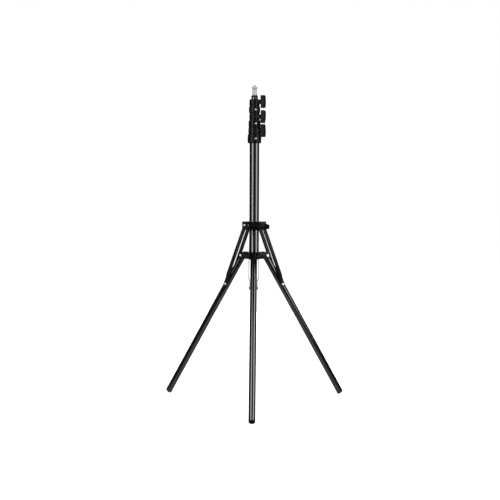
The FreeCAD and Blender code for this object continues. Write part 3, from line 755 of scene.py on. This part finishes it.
class STAND_OT_slider(bpy.types.Operator):
    """Make the slider with rounded edges, and its rivets"""
    bl_idname = "stand.slider"
    bl_label = "Slider"

    def execute(self, context):
        sizes = context.scene.stand_sizes
        piece("shown_slider_body", merged_copy("slider_body"), finish_for("hub_plastic"),
              ["slider_body"], sizes.moulded_edge, 3)
        shapes = []
        for number in LEGS:
            point, axis = hinge("strut_%d_swing" % number)
            first, last, head = span("slider_rivets", point, axis, SLIDER_REACH)
            outline = rivet_outline(STRUT_SHANK, head, first, last, RIVET_HEAD)
            shapes.append(moved(lathed(outline, sizes.small_steps), placed(point, axis)))
        piece("shown_slider_rivets", joined(shapes), finish_for("zinc_steel"),
              ["slider_rivets"])
        return {"FINISHED"}


class STAND_OT_collars(bpy.types.Operator):
    """Make the clamp collars with rounded edges, and their rivets"""
    bl_idname = "stand.collars"
    bl_label = "Clamp collars"

    def execute(self, context):
        sizes = context.scene.stand_sizes
        for number in COLLARS:
            node = "collar_%d_body" % number
            piece("shown_" + node, merged_copy(node), finish_for("collar_plastic"), [node],
                  sizes.moulded_edge, 3)
            rivet = "collar_%d_rivet" % number
            centre = middle(rivet)
            out = Vector((centre.x, centre.y, 0)).normalized()
            point = UP * centre.z
            first, last, head = span(rivet, point, out)
            shank = sizes.collar_shank
            outline = [(0, first), (shank, first)]
            outline += head_outline(shank, head, last, COLLAR_HEAD)
            piece("shown_" + rivet,
                  moved(lathed(outline, sizes.small_steps), placed(point, out)),
                  finish_for("zinc_steel"), [rivet])
        return {"FINISHED"}


class STAND_OT_knobs(bpy.types.Operator):
    """Shape the T knobs: finger hollows in the wings, a grooved neck and a cap on the screw"""
    bl_idname = "stand.knobs"
    bl_label = "Knobs"

    def place(self, node, joint):
        """A knob's own frame: Z out along its screw, X along its wings."""
        point, axis = hinge(joint)
        level = placed(point, axis, UP)
        back = level.inverted()
        spots = [back @ vertex.co for vertex in frame["nodes"][node].data.vertices]
        long_way = sum(spot.x ** 2 for spot in spots) - sum(spot.y ** 2 for spot in spots)
        slanted = 2 * sum(spot.x * spot.y for spot in spots)
        return level @ Matrix.Rotation(math.atan2(slanted, long_way) / 2, 4, "Z")

    def wings(self, half, thick, low, high, sizes):
        """A bar whose outer face falls towards its tips and whose sides are hollowed."""
        bm = bmesh.new()
        bmesh.ops.create_cube(bm, size=1.0)
        bmesh.ops.scale(bm, vec=(2 * half, thick, high - low), verts=bm.verts)
        bmesh.ops.translate(bm, vec=(0, 0, (low + high) / 2), verts=bm.verts)
        for way, cuts in ((0, 13), (1, 3), (2, 3)):
            edges = [edge for edge in bm.edges
                     if abs((edge.verts[0].co - edge.verts[1].co).normalized()[way]) > 0.9]
            bmesh.ops.subdivide_edges(bm, edges=edges, cuts=cuts, use_grid_fill=True)
        for vert in bm.verts:
            along = abs(vert.co.x) / half
            height = (vert.co.z - low) / (high - low)
            hollow = math.exp(-((along - 0.58) / 0.26) ** 2) * math.sin(math.pi * height)
            taper = 1.0 - 0.03 * along ** 2 - sizes.knob_hollow / thick * 2 * hollow
            vert.co.y *= taper
            vert.co.z -= sizes.knob_sag * along ** 2 * height
            vert.co.z += sizes.knob_lift * along ** 2 * (1 - height)
        return bm

    def neck(self, seat, low, radius):
        """The round neck from the clamp's boss into the wings, with two grooves."""
        start = seat + NECK_EDGE
        groove = radius - NECK_GROOVE
        outline = [(0, seat), (radius - NECK_EDGE, seat), (radius, start)]
        step = (low - start) / 2
        for turn in range(2):
            z = start + step * turn
            outline += [(radius, z + step * 0.35), (groove, z + step * 0.5),
                        (groove, z + step * 0.75), (radius, z + step * 0.9)]
        outline += [(radius, low + KNOB_SINK), (0, low + KNOB_SINK)]
        return outline

    def execute(self, context):
        sizes = context.scene.stand_sizes
        knobs = [("collar_%d_knob" % n, "knob_%d_turn" % n) for n in COLLARS]
        knobs.append(("slider_knob", "slider_knob_turn"))
        for node, joint in knobs:
            place = self.place(node, joint)
            back = place.inverted()
            spots = [back @ vertex.co for vertex in frame["nodes"][node].data.vertices]
            half = max(spot.x for spot in spots)
            thick = max(spot.y for spot in spots) * 2
            seat, high = min(spot.z for spot in spots), max(spot.z for spot in spots)
            low = min(spot.z for spot in spots if abs(spot.x) > half * 0.7)
            neck = max(math.hypot(spot.x, spot.y) for spot in spots if spot.z < seat + 0.0005)
            material = finish_for("knob_plastic")
            bar = piece("shown_" + node, moved(self.wings(half, thick, low, high, sizes), place),
                        material, [node], sizes.knob_round, 3, 50.0)
            smooth = bar.modifiers.new("Smooth", "SUBSURF")
            smooth.levels = smooth.render_levels = 1
            piece("shown_" + node + "_neck",
                  moved(lathed(self.neck(seat, low, neck), sizes.small_steps), place),
                  material, [node])
            cap = sizes.cap_radius
            foot, dish = high - KNOB_SINK, high - CAP_DISH
            outline = [(0, foot), (cap, foot), (cap, high - CAP_EDGE), (cap - CAP_EDGE, high),
                       (cap * 0.5, high), (cap * 0.42, dish), (0, dish)]
            piece("shown_" + node + "_cap",
                  moved(lathed(outline, sizes.small_steps), place), material, [node])
        return {"FINISHED"}


class STAND_OT_spigot(bpy.types.Operator):
    """Turn the spigot with its groove and threaded stud"""
    bl_idname = "stand.spigot"
    bl_label = "Spigot"

    def execute(self, context):
        sizes = context.scene.stand_sizes
        low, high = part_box("spigot")
        pin = MOUNTS["spigot"]
        radius = pin["dims"]["r_mm"] / 1000
        half = pin["dims"]["length_mm"] / 2000
        seat, stud = pin["pos_m"][2] - half, pin["pos_m"][2] + half
        thread = MOUNTS["stud"]["dims"]["r_mm"] / 1000
        waist = radius - sizes.groove_depth
        land, head = seat + sizes.land, stud - sizes.head
        rim = radius - LAND_EDGE
        outline = [(0, low.z), (waist, low.z), (waist, seat), (rim, seat),
                   (radius, seat + LAND_EDGE), (radius, land - sizes.groove_depth - 0.0002),
                   (waist, land), (waist, head - LAND_EDGE), (waist + LAND_EDGE, head),
                   (rim, head), (radius, head + LAND_EDGE), (radius, stud - TIP_EDGE),
                   (radius - TIP_EDGE, stud), (thread + 0.0012, stud),
                   (thread + 0.0002, stud - 0.0002), (thread - 0.0005, stud)]
        pitch = sizes.thread_pitch
        turns = int((high.z - stud - 0.0006) / pitch)
        for turn in range(turns):
            z = stud + pitch * (turn + 0.2)
            outline += [(thread - sizes.thread_depth, z), (thread, z + pitch * 0.38),
                        (thread, z + pitch * 0.5), (thread - sizes.thread_depth, z + pitch * 0.88)]
        outline += [(thread - 0.0004, high.z - 0.0003), (thread - 0.0008, high.z), (0, high.z)]
        piece("shown_spigot", lathed(outline, sizes.steps), finish_for("spigot_steel"),
              ["spigot"])
        return {"FINISHED"}


class STAND_OT_fittings(bpy.types.Operator):
    """Give every carried-over node its finish"""
    bl_idname = "stand.fittings"
    bl_label = "Fittings"

    def execute(self, context):
        for node, made in frame["nodes"].items():
            if made.hide_render:
                continue
            number = next((int(c) for c in node if c.isdigit()), 0)
            slot = SLOT_OF[node]
            own = number if slot in ("leg_black", "strap_black") else 0
            if not made.material_slots:
                made.data.materials.append(finish_for(slot, own))
            for holder in made.material_slots:
                holder.material = finish_for(slot, own)
        return {"FINISHED"}


class STAND_PT_panel(bpy.types.Panel):
    """Lists the stand's pieces"""
    bl_idname = "STAND_PT_panel"
    bl_label = "Lighting stand"
    bl_space_type = "VIEW_3D"
    bl_region_type = "UI"
    bl_category = "Stand"

    def draw(self, context):
        for operator in OPERATORS:
            self.layout.operator(operator.bl_idname)


OPERATORS = (STAND_OT_stage, STAND_OT_column, STAND_OT_legs, STAND_OT_struts, STAND_OT_hub,
             STAND_OT_slider, STAND_OT_collars, STAND_OT_knobs, STAND_OT_spigot,
             STAND_OT_fittings)
GROUPS = {"stand_colours": StandColours, "stand_sizes": StandSizes, "stand_stage": StandStage}


def register():
    for group in GROUPS.values():
        bpy.utils.register_class(group)
    for operator in OPERATORS:
        bpy.utils.register_class(operator)
    bpy.utils.register_class(STAND_PT_panel)
    for name, group in GROUPS.items():
        setattr(bpy.types.Scene, name, PointerProperty(type=group))


def unregister():
    for name in GROUPS:
        delattr(bpy.types.Scene, name)
    bpy.utils.unregister_class(STAND_PT_panel)
    for operator in reversed(OPERATORS):
        bpy.utils.unregister_class(operator)
    for group in GROUPS.values():
        bpy.utils.unregister_class(group)


def main():
    register()
    for operator in OPERATORS:
        getattr(bpy.ops.stand, operator.bl_idname.split(".")[1])()


if __name__ == "__main__":
    main()
